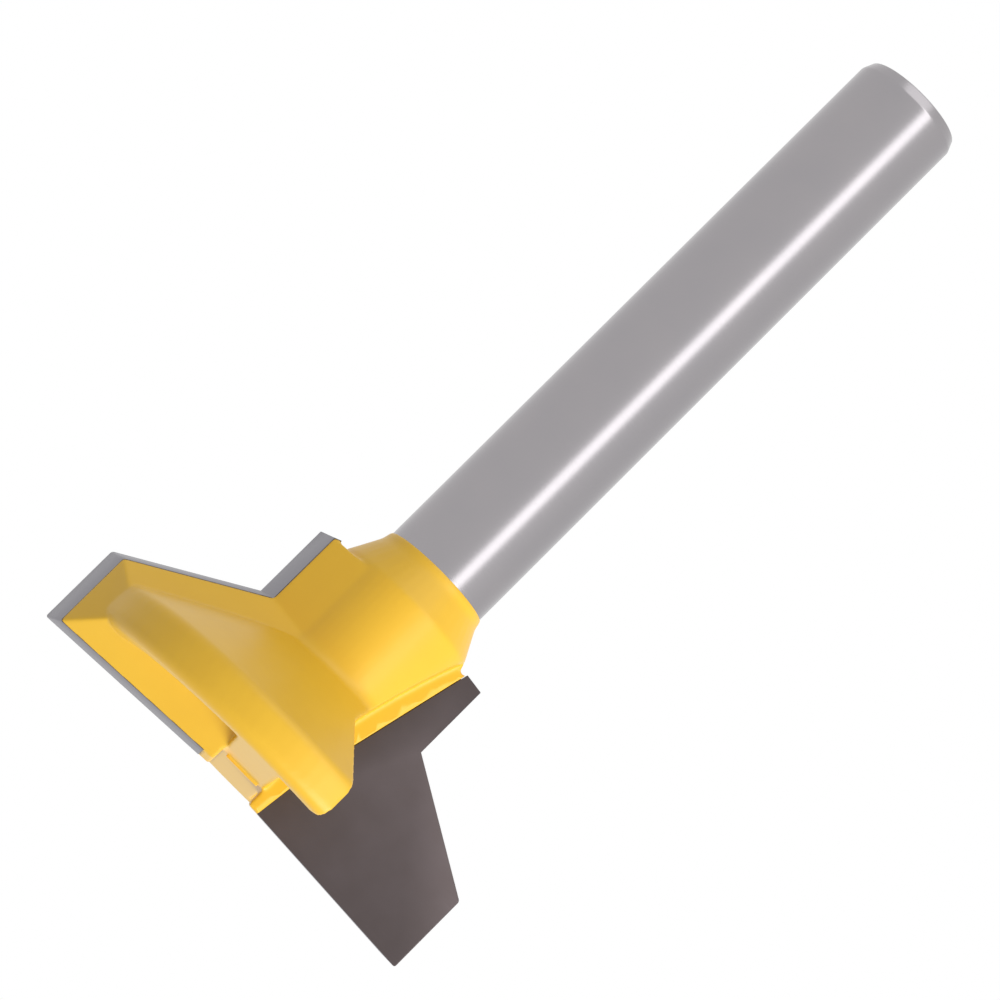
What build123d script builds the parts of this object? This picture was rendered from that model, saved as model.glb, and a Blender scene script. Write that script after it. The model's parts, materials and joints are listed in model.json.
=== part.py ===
from build123d import *
from math import cos, radians, sin, sqrt, tan
import os

# Drawer front router bit: a turned and milled steel body with two brazed carbide tips.
# Millimetres. Z runs up the shank, the lowest points of the cutting edges are at Z = 0,
# and the cutting edges lie in the XZ plane. Seen from the shank end it cuts clockwise.

# Shank and overall length
shank_diameter = 6.35
overall_length = 51.6
end_chamfer_length = 0.6
end_chamfer_depth = 0.25

# Cutting edges, drawn in the rake plane
cutting_diameter = 25.4
edge_height = 4.77
slope_angle = 30.6
waist_diameter = 11.76
head_height = 13.2
dish_angle = 3.0

# Carbide tips
tip_thickness = 2.0
tip_inner_bottom = 2.15
tip_inner_kink = 2.52
tip_inner_kink_height = 3.6
tip_inner_top = 4.75
tip_inner_rise = 0.15
side_relief = 0.75
slope_relief = 0.42
bottom_relief = 0.16

# Turned steel body, which stays inside the path of the cutting edges
rim_diameter = 22.6
rim_bottom = 1.67
rim_top = 3.9
rim_lower_round = 0.75
rim_upper_round = 0.8
rim_land = 1.4
hollow_angle = 14.0
hub_diameter = 8.6
cone_top = 8.1
cone_foot_round = 0.9
shoulder_rise = 0.25
shoulder_round = 0.4
neck_cone_length = 1.85
neck_foot_diameter = 6.66
neck_top_diameter = 6.58
neck_length = 0.42
neck_foot_round = 1.2
neck_top_round = 0.08

# Wings, the steel that backs each tip and falls away to the turned body
wing_set_in = 0.2
root_cover = 0.1

# Gullets, cut by a large disc cutter and opened to the rim
web_thickness = 2.92
disc_cutter_radius = 40.0
disc_low_point = -0.8
gullet_angle = 63.9
gullet_start = -0.66
wall_arc = 25.0

# Web, the straight rib between the gullets, with the fine ridge that two passes left on it
ridge_length = 2.2
ridge_width = 0.15
ridge_height = 0.16

cutting_radius = cutting_diameter / 2
shank_radius = shank_diameter / 2
waist_radius = waist_diameter / 2
rim_radius = rim_diameter / 2
hub_radius = hub_diameter / 2
shoulder_height = head_height + shoulder_rise
neck_foot_radius = neck_foot_diameter / 2
neck_top_radius = neck_top_diameter / 2
neck_foot = shoulder_height + neck_cone_length
neck_top = neck_foot + neck_length
half_web = web_thickness / 2
wing_depth = hub_radius - wing_set_in
hollow_radius = rim_radius - rim_land
cut_room = cutting_radius + 2.0


def rake_plane(turn, depth=0.0):
    """Plane of a rake face, or a plane that lies a depth behind it, for the tip at a turn about Z."""
    across = Vector(cos(radians(turn)), sin(radians(turn)), 0)
    ahead = Vector(sin(radians(turn)), -cos(radians(turn)), 0)
    return Plane(origin=ahead * -depth, x_dir=across, z_dir=ahead)


def outer_edges(inset=0.0, slope_inset=0.0, lift=0.0):
    """Corners of the cutting profile from its lowest corner to its top, set in by the reliefs."""
    outer = cutting_radius - inset
    waist = waist_radius - inset
    slope_drop = slope_inset / cos(radians(slope_angle))
    slope = tan(radians(slope_angle))
    return [
        (outer, dish_height(outer) + lift),
        (outer, edge_height + (cutting_radius - outer) * slope - slope_drop),
        (waist, edge_height + (cutting_radius - waist) * slope - slope_drop),
        (waist, head_height),
    ]


def dish_height(radius):
    """Height of the dished bottom edge at a radius."""
    return (cutting_radius - radius) * tan(radians(dish_angle))


def tip_outline(inset=0.0, slope_inset=0.0, lift=0.0):
    """Closed outline of a tip: its cutting edges and the inner edge that meets the steel."""
    return [
        (tip_inner_bottom, dish_height(tip_inner_bottom) + lift),
        *outer_edges(inset, slope_inset, lift),
        (tip_inner_top, head_height + tip_inner_rise),
        (tip_inner_kink, tip_inner_kink_height),
    ]


def wing_outline(inset=0.0, slope_inset=0.0, lift=0.0):
    """Closed outline of a wing: the cutting profile carried in to the web."""
    return [
        (half_web, dish_height(half_web) + lift),
        *outer_edges(inset, slope_inset, lift),
        (half_web, head_height),
    ]


def underside_height(radius):
    """Height of the body's hollow underside at a radius."""
    return rim_bottom + (hollow_radius - radius) * tan(radians(hollow_angle))


def wing_root_outline():
    """Closed outline where a wing runs out into the turned body, a little under its surface."""
    buried_radius = rim_radius - root_cover
    corner_cover = rim_lower_round * (1 - sqrt(0.5))
    low_outer = sqrt((buried_radius - corner_cover) ** 2 - wing_depth**2)
    high_outer = sqrt(buried_radius**2 - wing_depth**2)
    inner = sqrt(hub_radius**2 - wing_depth**2)
    near_axis = sqrt(half_web**2 + wing_depth**2)
    return [
        (half_web, underside_height(near_axis) + root_cover),
        (low_outer, rim_bottom + corner_cover),
        (high_outer, rim_top - rim_upper_round / 2),
        (inner, cone_top),
        (inner, head_height),
        (0, head_height),
    ]


def build_tip(turn):
    """Carbide tip: a flat rake face and a smaller back, joined by the relief faces."""
    with BuildPart() as tip:
        with BuildSketch(rake_plane(turn)):
            Polygon(*tip_outline(), align=None)
        with BuildSketch(rake_plane(turn, tip_thickness)):
            Polygon(*tip_outline(side_relief, slope_relief, bottom_relief), align=None)
        loft(ruled=True)
    return tip


def build_wing(turn):
    """Steel behind one rake plane: level with the tip, then falling away to the turned body."""
    with BuildPart() as wing:
        with BuildSketch(rake_plane(turn)):
            Polygon(*wing_outline(), align=None)
        with BuildSketch(rake_plane(turn, tip_thickness)):
            Polygon(*wing_outline(side_relief, slope_relief, bottom_relief), align=None)
        loft(ruled=True)
        with BuildSketch(rake_plane(turn, tip_thickness)):
            Polygon(*wing_outline(side_relief, slope_relief, bottom_relief), align=None)
        with BuildSketch(rake_plane(turn, wing_depth)):
            Polygon(*wing_root_outline(), align=None)
        loft(ruled=True)
    return wing


def build_gullet(turn):
    """Space in front of one rake face: a disc cutter's curved wall, kept behind the rim's horn."""
    wall_low = (half_web, disc_low_point)
    disc_centre = (half_web + disc_cutter_radius, disc_low_point)
    below = disc_low_point - cut_room
    with BuildPart() as gullet:
        with BuildSketch(rake_plane(turn)):
            with BuildLine():
                wall = CenterArc(disc_centre, disc_cutter_radius, 180, -wall_arc)
                far_top = Line(wall @ 1, (cut_room, (wall @ 1).Y))
                far_side = Line(far_top @ 1, (cut_room, below))
                under = Line(far_side @ 1, (half_web, below))
                Line(under @ 1, wall_low)
            make_face()
        extrude(amount=cut_room)
        opening = cut_room / tan(radians(gullet_angle))
        across = rake_plane(turn).x_dir
        with BuildSketch(Plane(origin=(0, 0, below), x_dir=across, z_dir=(0, 0, 1))):
            Polygon(
                (gullet_start, 0),
                (gullet_start + opening, -cut_room),
                (cut_room, -cut_room),
                (cut_room, 0),
                align=None,
            )
        extrude(amount=overall_length - below, mode=Mode.INTERSECT)
    return gullet


tips = [build_tip(turn) for turn in (0, 180)]
wings = [build_wing(turn) for turn in (0, 180)]
gullets = [build_gullet(turn) for turn in (0, 180)]

rounded_corners = [
    ((rim_radius, rim_bottom), rim_lower_round),
    ((rim_radius, rim_top), rim_upper_round),
    ((hub_radius, cone_top), cone_foot_round),
    ((hub_radius, shoulder_height), shoulder_round),
    ((neck_foot_radius, neck_foot), neck_foot_round),
    ((neck_top_radius, neck_top), neck_top_round),
]

# The underside is hollow on both sides of the web
with BuildPart() as hollow:
    with BuildSketch(Plane.XZ):
        Polygon(
            (0, rim_bottom - root_cover),
            (hollow_radius, rim_bottom - root_cover),
            (hollow_radius, rim_bottom),
            (0, underside_height(0)),
            align=None,
        )
    revolve(axis=Axis.Z)
    Box(web_thickness, 2 * cut_room, 2 * head_height, mode=Mode.SUBTRACT)

with BuildPart() as cutter_body:
    with BuildSketch(Plane.XZ):
        Polygon(
            (0, rim_bottom),
            (rim_radius, rim_bottom),
            (rim_radius, rim_top),
            (hub_radius, cone_top),
            (hub_radius, shoulder_height),
            (neck_foot_radius, neck_foot),
            (neck_top_radius, neck_top),
            (shank_radius, neck_top),
            (shank_radius, overall_length - end_chamfer_length),
            (shank_radius - end_chamfer_depth, overall_length),
            (0, overall_length),
            align=None,
        )
        for corner, round_size in rounded_corners:
            fillet(vertices().sort_by_distance(corner)[0], round_size)
    revolve(axis=Axis.Z)
    add(hollow.part, mode=Mode.SUBTRACT)
    for wing in wings:
        add(wing.part)
    for gullet in gullets:
        add(gullet.part, mode=Mode.SUBTRACT)
    for tip in tips:
        add(tip.part, mode=Mode.SUBTRACT)
    with Locations((0, 0, rim_bottom - ridge_height)):
        Box(ridge_length, ridge_width, 2 * ridge_height, align=(Align.CENTER, Align.CENTER, Align.MIN))

cutter_body.part.label = "cutter_body"

os.makedirs("parts", exist_ok=True)
export_step(cutter_body.part, "parts/cutter_body.step")
for number, tip in enumerate(tips, start=1):
    tip.part.label = f"carbide_tip_{number}"
    export_step(tip.part, f"parts/carbide_tip_{number}.step")
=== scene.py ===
import json
from math import cos, radians, sin

import bmesh
import bpy
from mathutils import Matrix, Vector


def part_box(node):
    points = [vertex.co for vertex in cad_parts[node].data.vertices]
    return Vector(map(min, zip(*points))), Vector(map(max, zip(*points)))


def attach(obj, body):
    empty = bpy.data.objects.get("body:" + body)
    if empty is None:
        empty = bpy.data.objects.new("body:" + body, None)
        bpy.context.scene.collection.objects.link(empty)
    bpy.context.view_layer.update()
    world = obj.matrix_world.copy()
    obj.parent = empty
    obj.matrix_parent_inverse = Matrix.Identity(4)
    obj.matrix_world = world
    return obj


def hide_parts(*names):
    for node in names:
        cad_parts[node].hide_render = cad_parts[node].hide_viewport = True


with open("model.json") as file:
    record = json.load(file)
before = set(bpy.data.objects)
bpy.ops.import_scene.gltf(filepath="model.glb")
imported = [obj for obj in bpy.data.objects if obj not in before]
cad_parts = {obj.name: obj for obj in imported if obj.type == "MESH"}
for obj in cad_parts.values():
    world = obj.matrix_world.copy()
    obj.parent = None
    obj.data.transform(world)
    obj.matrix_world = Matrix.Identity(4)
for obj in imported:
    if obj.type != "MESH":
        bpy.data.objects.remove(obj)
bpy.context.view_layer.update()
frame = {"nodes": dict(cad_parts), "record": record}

mm = 0.001

# Shank. The plain end of the one-piece steel body, turned from bar and then centreless ground
# to the size that a router collet grips. It stays bare, so its fine rings of grinding show.
paint_line = 15.73 * mm
shank_hidden_length = 1.2 * mm
shank_holding_ring = 0.3 * mm
shank_chamfer_length = 0.6 * mm
shank_chamfer_depth = 0.25 * mm
shank_edge_round = 0.07 * mm
shank_facets = 192
grinding_ring_spacing = 0.11 * mm


def srgb(code):
    """A colour written as sRGB hex, such as "F2B52C", as the linear value that a socket takes."""
    parts = [int(code[i:i + 2], 16) / 255 for i in (0, 2, 4)]
    return (*[p / 12.92 if p <= 0.04045 else ((p + 0.055) / 1.055) ** 2.4 for p in parts], 1)


def add(tree, kind, settings=None, links=None):
    """Adds one shader node, sets its values by socket or property name, and links its inputs."""
    node = tree.nodes.new("ShaderNode" + kind)
    for name, value in (settings or {}).items():
        if name in node.inputs:
            node.inputs[name].default_value = value
        else:
            setattr(node, name, value)
    for name, source in (links or {}).items():
        tree.links.new(source, node.inputs[name])
    return node


def new_material(name):
    """An empty material, with its node tree and its output node."""
    material = bpy.data.materials.new(name)
    material.use_nodes = True
    material.node_tree.nodes.clear()
    return material, material.node_tree, add(material.node_tree, "OutputMaterial")


def make_piece(name, mesh, material):
    """A smooth-shaded object at the origin from a finished bmesh."""
    data = bpy.data.meshes.new(name)
    mesh.to_mesh(data)
    mesh.free()
    data.materials.append(material)
    data.shade_smooth()
    piece = bpy.data.objects.new(name, data)
    bpy.context.scene.collection.objects.link(piece)
    return piece


def ground_steel():
    """Centreless-ground steel: a soft mirror, dulled and drawn out by fine rings round the shank."""
    material, tree, output = new_material("ground_steel")
    place = add(tree, "TexCoord")
    split = add(tree, "SeparateXYZ", {}, {"Vector": place.outputs["Object"]})
    rings = add(tree, "TexNoise", {"noise_dimensions": "1D", "Scale": 1 / grinding_ring_spacing,
                                   "Detail": 3.0, "Roughness": 0.6}, {"W": split.outputs["Z"]})
    stains = add(tree, "TexNoise", {"Scale": 1 / (3 * mm), "Detail": 2.0},
                 {"Vector": place.outputs["Object"]})
    tint = add(tree, "Mix", {"data_type": "RGBA"}, {"Factor": stains.outputs["Fac"]})
    tint.inputs[6].default_value = srgb("9B989B")
    tint.inputs[7].default_value = srgb("A19D9F")
    gloss = add(tree, "MapRange", {"To Min": 0.22, "To Max": 0.28}, {"Value": rings.outputs["Fac"]})
    bump = add(tree, "Bump", {"Strength": 0.12, "Distance": 0.004 * mm},
               {"Height": rings.outputs["Fac"]})
    shader = add(tree, "BsdfPrincipled", {"Metallic": 1.0},
                 {"Base Color": tint.outputs[2], "Roughness": gloss.outputs["Result"],
                  "Normal": bump.outputs["Normal"]})
    tree.links.new(shader.outputs["BSDF"], output.inputs["Surface"])
    return material


steel = ground_steel()
shank_mount = frame["record"]["mounts"][0]
shank_radius = shank_mount["dims"]["r_mm"] * mm
shank_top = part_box("cutter_body")[1].z

turning = bmesh.new()
shank_foot = paint_line - shank_hidden_length
chamfer_foot = shank_top - shank_chamfer_length
profile = [
    (0, shank_foot),
    (shank_radius, shank_foot),
    (shank_radius, shank_foot + shank_holding_ring),
    (shank_radius, chamfer_foot - shank_holding_ring),
    (shank_radius, chamfer_foot),
    (shank_radius - shank_chamfer_depth, shank_top),
    (shank_radius - shank_chamfer_depth - shank_holding_ring, shank_top),
    (0, shank_top),
]
points = [turning.verts.new((r, 0, z)) for r, z in profile]
for start, end in zip(points, points[1:]):
    turning.edges.new((start, end))
bmesh.ops.bevel(turning, geom=points[4:6], offset=shank_edge_round, segments=3, profile=0.5,
                affect="VERTICES", material=-1)
bmesh.ops.spin(turning, geom=turning.verts[:] + turning.edges[:], cent=(0, 0, 0), axis=(0, 0, 1),
               angle=radians(360), steps=shank_facets, use_merge=True)
bmesh.ops.remove_doubles(turning, verts=turning.verts, dist=0.001 * mm)
bmesh.ops.recalc_face_normals(turning, faces=turning.faces)
shank = make_piece("shank", turning, steel)
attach(shank, "root")
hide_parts("cutter_body")

# Cutter head. The same bar turned and milled to a finned head, under a thick coat of yellow
# enamel that rounds each corner and ends at a line on the shank. The tips were ground after it.
enamel_voxel = 0.085 * mm
enamel_rounding_passes = 12
enamel_kept_faces = 0.5
tip_clearance_scale = 1.25
enamel_mottle = 1.6 * mm
enamel_orange_peel = 0.32 * mm


def merged_copy(node):
    """A bmesh of a CAD node, whose loose triangles are joined at their shared corners."""
    mesh = bmesh.new()
    mesh.from_mesh(frame["nodes"][node].data)
    bmesh.ops.remove_doubles(mesh, verts=mesh.verts, dist=0.001 * mm)
    return mesh


def yellow_enamel():
    """Baked enamel: a saturated warm yellow with a soft gloss and a faint orange peel."""
    material, tree, output = new_material("yellow_enamel")
    place = add(tree, "TexCoord")
    mottle = add(tree, "TexNoise", {"Scale": 1 / enamel_mottle, "Detail": 3.0},
                 {"Vector": place.outputs["Object"]})
    tint = add(tree, "Mix", {"data_type": "RGBA"}, {"Factor": mottle.outputs["Fac"]})
    tint.inputs[6].default_value = srgb("E7B52A")
    tint.inputs[7].default_value = srgb("EDBC2E")
    peel = add(tree, "TexNoise", {"Scale": 1 / enamel_orange_peel, "Detail": 1.0},
               {"Vector": place.outputs["Object"]})
    bump = add(tree, "Bump", {"Strength": 0.25, "Distance": 0.01 * mm},
               {"Height": peel.outputs["Fac"]})
    shader = add(tree, "BsdfPrincipled", {"Roughness": 0.38, "IOR": 1.5},
                 {"Base Color": tint.outputs[2], "Normal": bump.outputs["Normal"]})
    tree.links.new(shader.outputs["BSDF"], output.inputs["Surface"])
    return material


enamel = yellow_enamel()
head_mesh = merged_copy("cutter_body")
above_line = bmesh.ops.bisect_plane(
    head_mesh, geom=head_mesh.verts[:] + head_mesh.edges[:] + head_mesh.faces[:],
    plane_co=(0, 0, paint_line + shank_hidden_length), plane_no=(0, 0, 1), clear_outer=True)
cut_edges = [e for e in above_line["geom_cut"] if isinstance(e, bmesh.types.BMEdge)]
bmesh.ops.contextual_create(head_mesh, geom=cut_edges)
for node in ("carbide_tip_1", "carbide_tip_2"):
    head_mesh.from_mesh(frame["nodes"][node].data)
bmesh.ops.remove_doubles(head_mesh, verts=head_mesh.verts, dist=0.0001 * mm)
head = make_piece("cutter_head", head_mesh, enamel)

tip_cutters = []
for number in (1, 2):
    cutter_mesh = merged_copy(f"carbide_tip_{number}")
    kink = min((v.co for v in cutter_mesh.verts if v.co.z > 1 * mm), key=lambda co: abs(co.x))
    back = max((v.co.y for v in cutter_mesh.verts), key=abs)
    corner = Vector((kink.x, back, kink.z))
    bmesh.ops.scale(cutter_mesh, vec=(tip_clearance_scale, 1.5, tip_clearance_scale),
                    verts=cutter_mesh.verts, space=Matrix.Translation(-corner))
    tip_cutters.append(make_piece(f"tip_cutter_{number}", cutter_mesh, enamel))

coat = head.modifiers.new("coat", "REMESH")
coat.mode = "VOXEL"
coat.voxel_size = enamel_voxel
coat.use_smooth_shade = True
flow = head.modifiers.new("flow", "SMOOTH")
flow.factor = 0.5
flow.iterations = enamel_rounding_passes
for cutter in tip_cutters:
    ground = head.modifiers.new("ground", "BOOLEAN")
    ground.operation = "DIFFERENCE"
    ground.solver = "EXACT"
    ground.object = cutter
thin = head.modifiers.new("thin", "DECIMATE")
thin.ratio = enamel_kept_faces
coated = bpy.data.meshes.new_from_object(head.evaluated_get(bpy.context.evaluated_depsgraph_get()))
head.modifiers.clear()
for cutter in tip_cutters:
    bpy.data.objects.remove(cutter)

head_mesh = bmesh.new()
head_mesh.from_mesh(coated)
above_line = bmesh.ops.bisect_plane(
    head_mesh, geom=head_mesh.verts[:] + head_mesh.edges[:] + head_mesh.faces[:],
    plane_co=(0, 0, paint_line), plane_no=(0, 0, 1), clear_outer=True)
cut_edges = [e for e in above_line["geom_cut"] if isinstance(e, bmesh.types.BMEdge)]
bmesh.ops.contextual_create(head_mesh, geom=cut_edges)
head_mesh.to_mesh(coated)
head_mesh.free()
head.data = coated
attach(head, "root")
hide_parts("cutter_body")

# Ridge. Two milling passes met along the middle of the web's flat bottom, and the enamel lies
# over the fine ridge that they left there.
ridge_length = 2.2 * mm
ridge_width = 0.16 * mm
ridge_depth = 0.17 * mm
ridge_round = 0.05 * mm
web_bottom = 1.67 * mm

ridge_mesh = bmesh.new()
bmesh.ops.create_cube(ridge_mesh, size=1)
bmesh.ops.scale(ridge_mesh, vec=(ridge_length, ridge_width, 2 * ridge_depth),
                verts=ridge_mesh.verts)
bmesh.ops.translate(ridge_mesh, vec=(0, 0, web_bottom), verts=ridge_mesh.verts)
bmesh.ops.bevel(ridge_mesh, geom=ridge_mesh.edges[:], offset=ridge_round, segments=3,
                profile=0.5, affect="EDGES", material=-1)
ridge = make_piece("web_ridge", ridge_mesh, enamel)
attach(ridge, "root")
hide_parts("cutter_body")

# Carbide tips. Two plates of sintered tungsten carbide, brazed into seats in the wings, then
# diamond-ground flat on the rake face and along the reliefs, which leaves slanting scratches.
carbide_edge_round = 0.02 * mm
carbide_corner_round = 0.12 * mm
scratch_spacing = 0.12 * mm
scratch_length = 1.4 * mm
scratch_slant = 15


def ground_carbide():
    """Diamond-ground carbide: dark warm grey metal with a satin face and short fine scratches, its
    relief faces painted a lighter grey than the rake face by the way they face.
    """
    material, tree, output = new_material("ground_carbide")
    place = add(tree, "TexCoord")
    turned = add(tree, "Mapping", {"Rotation": (0, radians(scratch_slant), 0),
                                   "Scale": (1 / scratch_length, 1 / scratch_spacing,
                                             1 / scratch_spacing)},
                 {"Vector": place.outputs["Object"]})
    scratches = add(tree, "TexNoise", {"Scale": 1.0, "Detail": 4.0, "Roughness": 0.65},
                    {"Vector": turned.outputs["Vector"]})
    cloud = add(tree, "TexNoise", {"Scale": 1 / (2.2 * mm), "Detail": 2.0},
                {"Vector": place.outputs["Object"]})
    lapped = add(tree, "Mix", {"data_type": "RGBA"}, {"Factor": cloud.outputs["Fac"]})
    lapped.inputs[6].default_value = srgb("504847")
    lapped.inputs[7].default_value = srgb("595152")
    # Painted light: faces that don't face along Y (the reliefs) get a lighter grey than the rake
    # face, chosen only by which way they face.
    facing = add(tree, "SeparateXYZ", {}, {"Vector": place.outputs["Normal"]})
    squareness = add(tree, "Math", {"operation": "ABSOLUTE"}, {0: facing.outputs["Y"]})
    painted_light_split = add(tree, "MapRange", {"From Min": 0.6, "From Max": 0.9},
               {"Value": squareness.outputs["Value"]})
    tint = add(tree, "Mix", {"data_type": "RGBA"},
               {"Factor": painted_light_split.outputs["Result"]})
    tint.inputs[6].default_value = srgb("87858A")
    tree.links.new(lapped.outputs[2], tint.inputs[7])
    gloss = add(tree, "MapRange", {"To Min": 0.34, "To Max": 0.5},
                {"Value": scratches.outputs["Fac"]})
    bump = add(tree, "Bump", {"Strength": 0.2, "Distance": 0.006 * mm},
               {"Height": scratches.outputs["Fac"]})
    shader = add(tree, "BsdfPrincipled", {"Metallic": 1.0},
                 {"Base Color": tint.outputs[2], "Roughness": gloss.outputs["Result"],
                  "Normal": bump.outputs["Normal"]})
    tree.links.new(shader.outputs["BSDF"], output.inputs["Surface"])
    return material


carbide = ground_carbide()
for number in (1, 2):
    tip_mesh = merged_copy(f"carbide_tip_{number}")
    bmesh.ops.dissolve_limit(tip_mesh, angle_limit=radians(0.5), verts=tip_mesh.verts,
                             edges=tip_mesh.edges)
    reach = max(abs(v.co.x) for v in tip_mesh.verts)
    outer_corners = [
        e for e in tip_mesh.edges
        if abs(e.verts[0].co.y - e.verts[1].co.y) > 1 * mm
        and min(abs(v.co.x) for v in e.verts) > reach - 1 * mm
    ]
    bmesh.ops.bevel(tip_mesh, geom=outer_corners, offset=carbide_corner_round, segments=3,
                    profile=0.5, affect="EDGES", material=-1)
    bmesh.ops.bevel(tip_mesh, geom=tip_mesh.edges[:], offset=carbide_edge_round, segments=2,
                    profile=0.5, affect="EDGES", material=-1)
    tip = make_piece(f"ground_tip_{number}", tip_mesh, carbide)
    tip.data.set_sharp_from_angle(angle=radians(30))
    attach(tip, "root")
    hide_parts(f"carbide_tip_{number}")

# Floor. A plain pale surface under the cutting edges. It shows from above and takes the bit's
# shadow, but is open from below, where the photograph looks up past it.
floor_radius = 1.2


def pale_floor():
    """Matt pale paper, seen on its upper side only."""
    material, tree, output = new_material("pale_floor")
    side = add(tree, "NewGeometry")
    paper = add(tree, "BsdfDiffuse", {"Color": srgb("F1F0EE")})
    opening = add(tree, "BsdfTransparent")
    seen = add(tree, "MixShader", {}, {0: side.outputs["Backfacing"], 1: paper.outputs["BSDF"],
                                       2: opening.outputs["BSDF"]})
    tree.links.new(seen.outputs["Shader"], output.inputs["Surface"])
    return material


floor_mesh = bmesh.new()
bmesh.ops.create_circle(floor_mesh, cap_ends=True, segments=96, radius=floor_radius)
floor = make_piece("floor", floor_mesh, pale_floor())
floor.visible_shadow = False
floor.visible_diffuse = False
floor.visible_glossy = False
floor.visible_transmission = False

# Studio light. One tall soft strip to the right of the camera draws the bright line along the
# shank, a broad key below it lights the undersides, a fill hangs above, and the room is white.
light_distance = 0.6


def softbox(name, azimuth, elevation, width, height, radiance, mirrored=True):
    """An area lamp that faces the bit. Azimuth 0 is the camera's side, and 90 is +X."""
    lamp = bpy.data.lights.new(name, "AREA")
    lamp.shape = "RECTANGLE"
    lamp.size = width
    lamp.size_y = height
    lamp.energy = radiance * 3.14159 * width * height
    around, above = radians(azimuth), radians(elevation)
    away = Vector((sin(around) * cos(above), -cos(around) * cos(above), sin(above)))
    place = bpy.data.objects.new(name, lamp)
    place.location = away * light_distance + Vector((0, 0, 25 * mm))
    place.rotation_mode = "QUATERNION"
    place.rotation_quaternion = away.to_track_quat("Z", "Y")
    place.visible_camera = False
    place.visible_glossy = mirrored
    bpy.context.scene.collection.objects.link(place)
    return place


softbox("key_strip", 36, 10, 0.2, 0.9, 2.35)
softbox("low_key", 60, -30, 0.5, 0.5, 4.25)
softbox("top_fill", 0, 60, 0.5, 0.5, 0.82)

world = bpy.data.worlds.new("white_room")
world.use_nodes = True
room = world.node_tree
room.nodes.clear()
ray = add(room, "LightPath")
shown = add(room, "Math", {"operation": "MAXIMUM"},
            {0: ray.outputs["Is Camera Ray"], 1: ray.outputs["Is Glossy Ray"]})
shown_too = add(room, "Math", {"operation": "MAXIMUM"},
                {0: shown.outputs["Value"], 1: ray.outputs["Is Transmission Ray"]})
level = add(room, "MapRange", {"To Min": 0.47, "To Max": 1.0}, {"Value": shown_too.outputs["Value"]})
white = add(room, "Background", {"Color": (1, 1, 1, 1)}, {"Strength": level.outputs["Result"]})
add(room, "OutputWorld", {}, {"Surface": white.outputs["Background"]})
bpy.context.scene.world = world

# Camera. It looks slightly up at the head from below its edges, with a long lens, and is rolled
# so that the shank points to the upper right corner.
camera_distance = 291.96 * mm
camera_target = Vector((-0.494, 0, 21.016)) * mm
camera_look_up = 9.37
camera_turn = 0.52
camera_roll = 45.17
camera_lens = 202.5

camera_data = bpy.data.cameras.new("camera")
camera_data.sensor_width = 36
camera_data.lens = camera_lens
camera_data.clip_start = 0.01
camera_data.clip_end = 10
camera = bpy.data.objects.new("camera", camera_data)
look = Vector((0, cos(radians(camera_look_up)), sin(radians(camera_look_up))))
camera.matrix_world = (
    Matrix.Rotation(radians(-camera_turn), 4, "Z")
    @ Matrix.Translation(camera_target - look * camera_distance)
    @ Matrix.Rotation(radians(90 + camera_look_up), 4, "X")
    @ Matrix.Rotation(radians(camera_roll), 4, "Z")
)
bpy.context.scene.collection.objects.link(camera)
bpy.context.scene.camera = camera
bpy.context.scene.view_settings.view_transform = "Standard"
